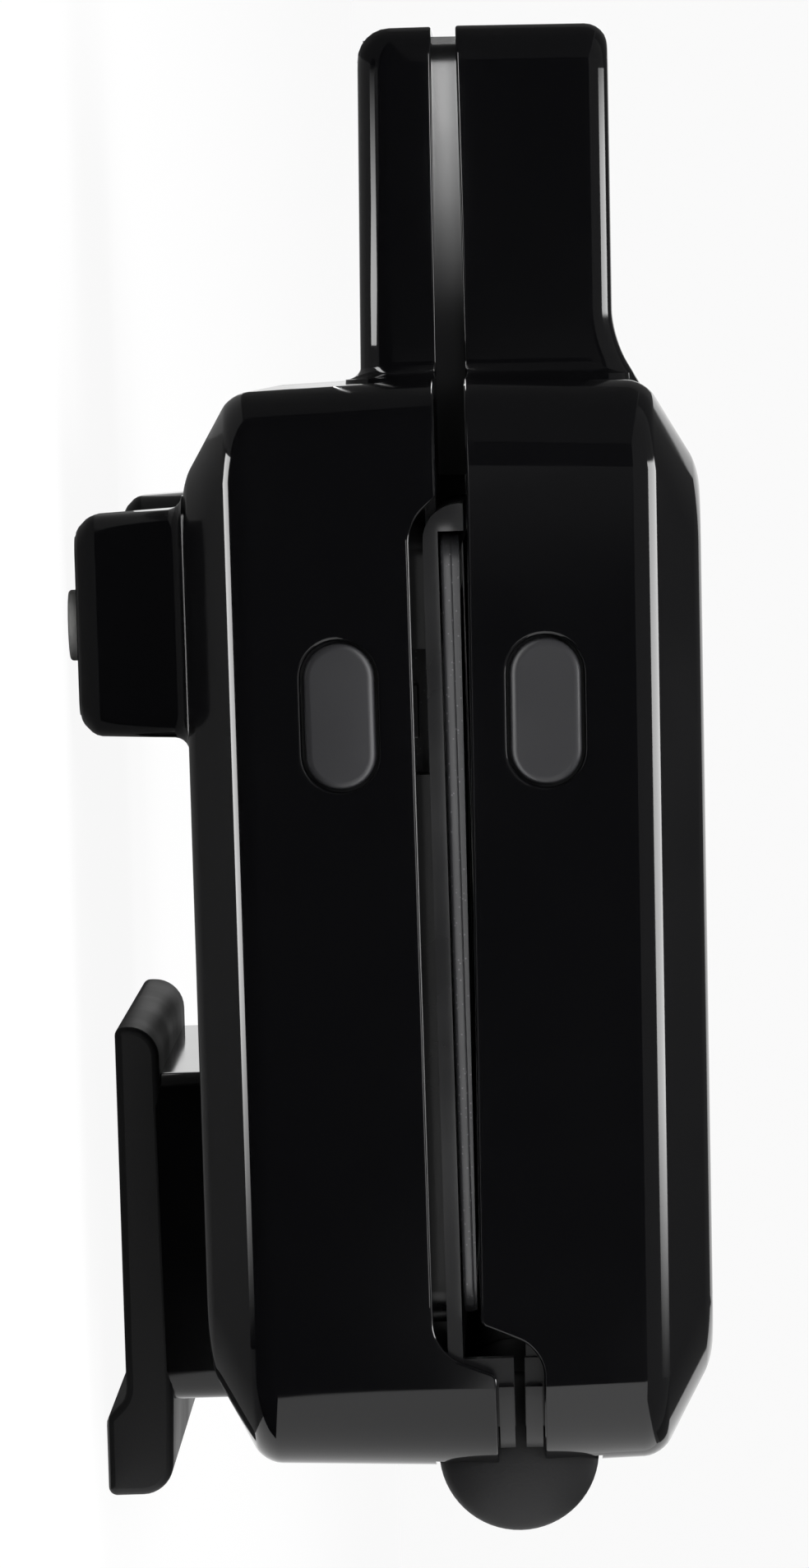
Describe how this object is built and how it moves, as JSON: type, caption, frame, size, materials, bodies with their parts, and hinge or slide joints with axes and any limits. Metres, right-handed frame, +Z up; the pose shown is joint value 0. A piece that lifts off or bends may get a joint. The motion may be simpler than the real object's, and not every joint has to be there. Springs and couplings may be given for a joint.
{
  "type": "sandwich toaster",
  "caption": "Hinged sandwich toaster with lift-out plates, a split handle with a latch clip, side release buttons, rubber-padded feet and a cord wrap that doubles as rear foot.",
  "frame": {"origin": "on the floor under the middle of the outline, with the toaster lying on its feet as in use", "axes": "+Z up towards the lid, +Y towards the hinge, -Y towards the handle, +X towards the side with the release buttons"},
  "size_m": [0.24, 0.2541, 0.1075],
  "materials": {
    "gloss_black": "high gloss",
    "satin_black": "satin",
    "matte_black": "fine grain",
    "button_grey": "satin",
    "foot_rubber": "matte",
    "plate_coating": "dark non-stick coat",
    "bright_sheet": "mill",
    "heater_steel": "oxidised",
    "pin_steel": "plain",
    "ceramic": "matte",
    "lead_sleeve": "woven sleeve",
    "board": "lacquer",
    "red_lens": "clear tinted",
    "green_lens": "clear tinted"
  },
  "bodies": {
    "base": {"base_shell": "gloss_black", "base_frame": "satin_black", "lower_plate": "plate_coating", "lower_heater": "heater_steel", "lower_reflector": "bright_sheet", "lower_catch_pin": "pin_steel", "lower_catch_spring": "pin_steel", "base_screw_1": "pin_steel", "base_screw_2": "pin_steel", "base_screw_3": "pin_steel", "base_screw_4": "pin_steel", "thermostat": "ceramic", "thermal_fuse": "ceramic", "terminal_block": "ceramic", "cord_bushing": "satin_black", "base_leads": "lead_sleeve", "cord_wrap": "matte_black", "cord_wrap_screw_left": "pin_steel", "cord_wrap_screw_right": "pin_steel", "foot_pad_left": "foot_rubber", "foot_pad_right": "foot_rubber", "hinge_knuckle_left": "matte_black", "hinge_knuckle_right": "matte_black", "hinge_rod": "pin_steel", "hinge_cap_left": "matte_black", "hinge_cap_right": "matte_black"},
    "lid": {"lid_shell": "gloss_black", "lid_frame": "satin_black", "upper_plate": "plate_coating", "upper_heater": "heater_steel", "upper_reflector": "bright_sheet", "upper_catch_pin": "pin_steel", "upper_catch_spring": "pin_steel", "lid_screw_1": "pin_steel", "lid_screw_2": "pin_steel", "lid_screw_3": "pin_steel", "lid_screw_4": "pin_steel", "lid_knuckle": "matte_black", "power_lamp": "red_lens", "ready_lamp": "green_lens", "lamp_board": "board", "lid_leads": "lead_sleeve", "latch_pin": "pin_steel"},
    "latch": {"latch_clip": "satin_black"},
    "lower_button": {"lower_button": "button_grey"},
    "lower_catch": {"lower_catch": "satin_black"},
    "upper_button": {"upper_button": "button_grey"},
    "upper_catch": {"upper_catch": "satin_black"}
  },
  "joints": [
    {"name": "lid_hinge", "type": "hinge", "parent": "base", "child": "lid", "pos_m": [0, 0.11365, 0.0718], "axis": [-1, 0, 0], "range_deg": [0, 100]},
    {"name": "latch_swing", "type": "hinge", "parent": "lid", "child": "latch", "pos_m": [0, -0.12478, 0.08563], "axis": [-1, 0, 0], "range_deg": [0, 45]},
    {"name": "lower_button_press", "type": "slide", "parent": "base", "child": "lower_button", "axis": [-1, 0, 0], "range_m": [0, 0.0025], "stiffness_N_per_m": 700, "springref_m": -0.002},
    {"name": "lower_catch_turn", "type": "hinge", "parent": "base", "child": "lower_catch", "pos_m": [0.107, -0.01115, 0.0542], "axis": [0, 1, 0], "range_deg": [0, 25.6]},
    {"name": "upper_button_press", "type": "slide", "parent": "lid", "child": "upper_button", "axis": [-1, 0, 0], "range_m": [0, 0.0025], "stiffness_N_per_m": 700, "springref_m": -0.002},
    {"name": "upper_catch_turn", "type": "hinge", "parent": "lid", "child": "upper_catch", "pos_m": [0.107, -0.01107, 0.07874], "axis": [0, -0.9999, 0.014], "range_deg": [0, 25.6]}
  ],
  "couplings": [
    {"joint": "lower_catch_turn", "follows": "lower_button_press", "rad_per_m": 178.57},
    {"joint": "upper_catch_turn", "follows": "upper_button_press", "rad_per_m": 178.57}
  ]
}
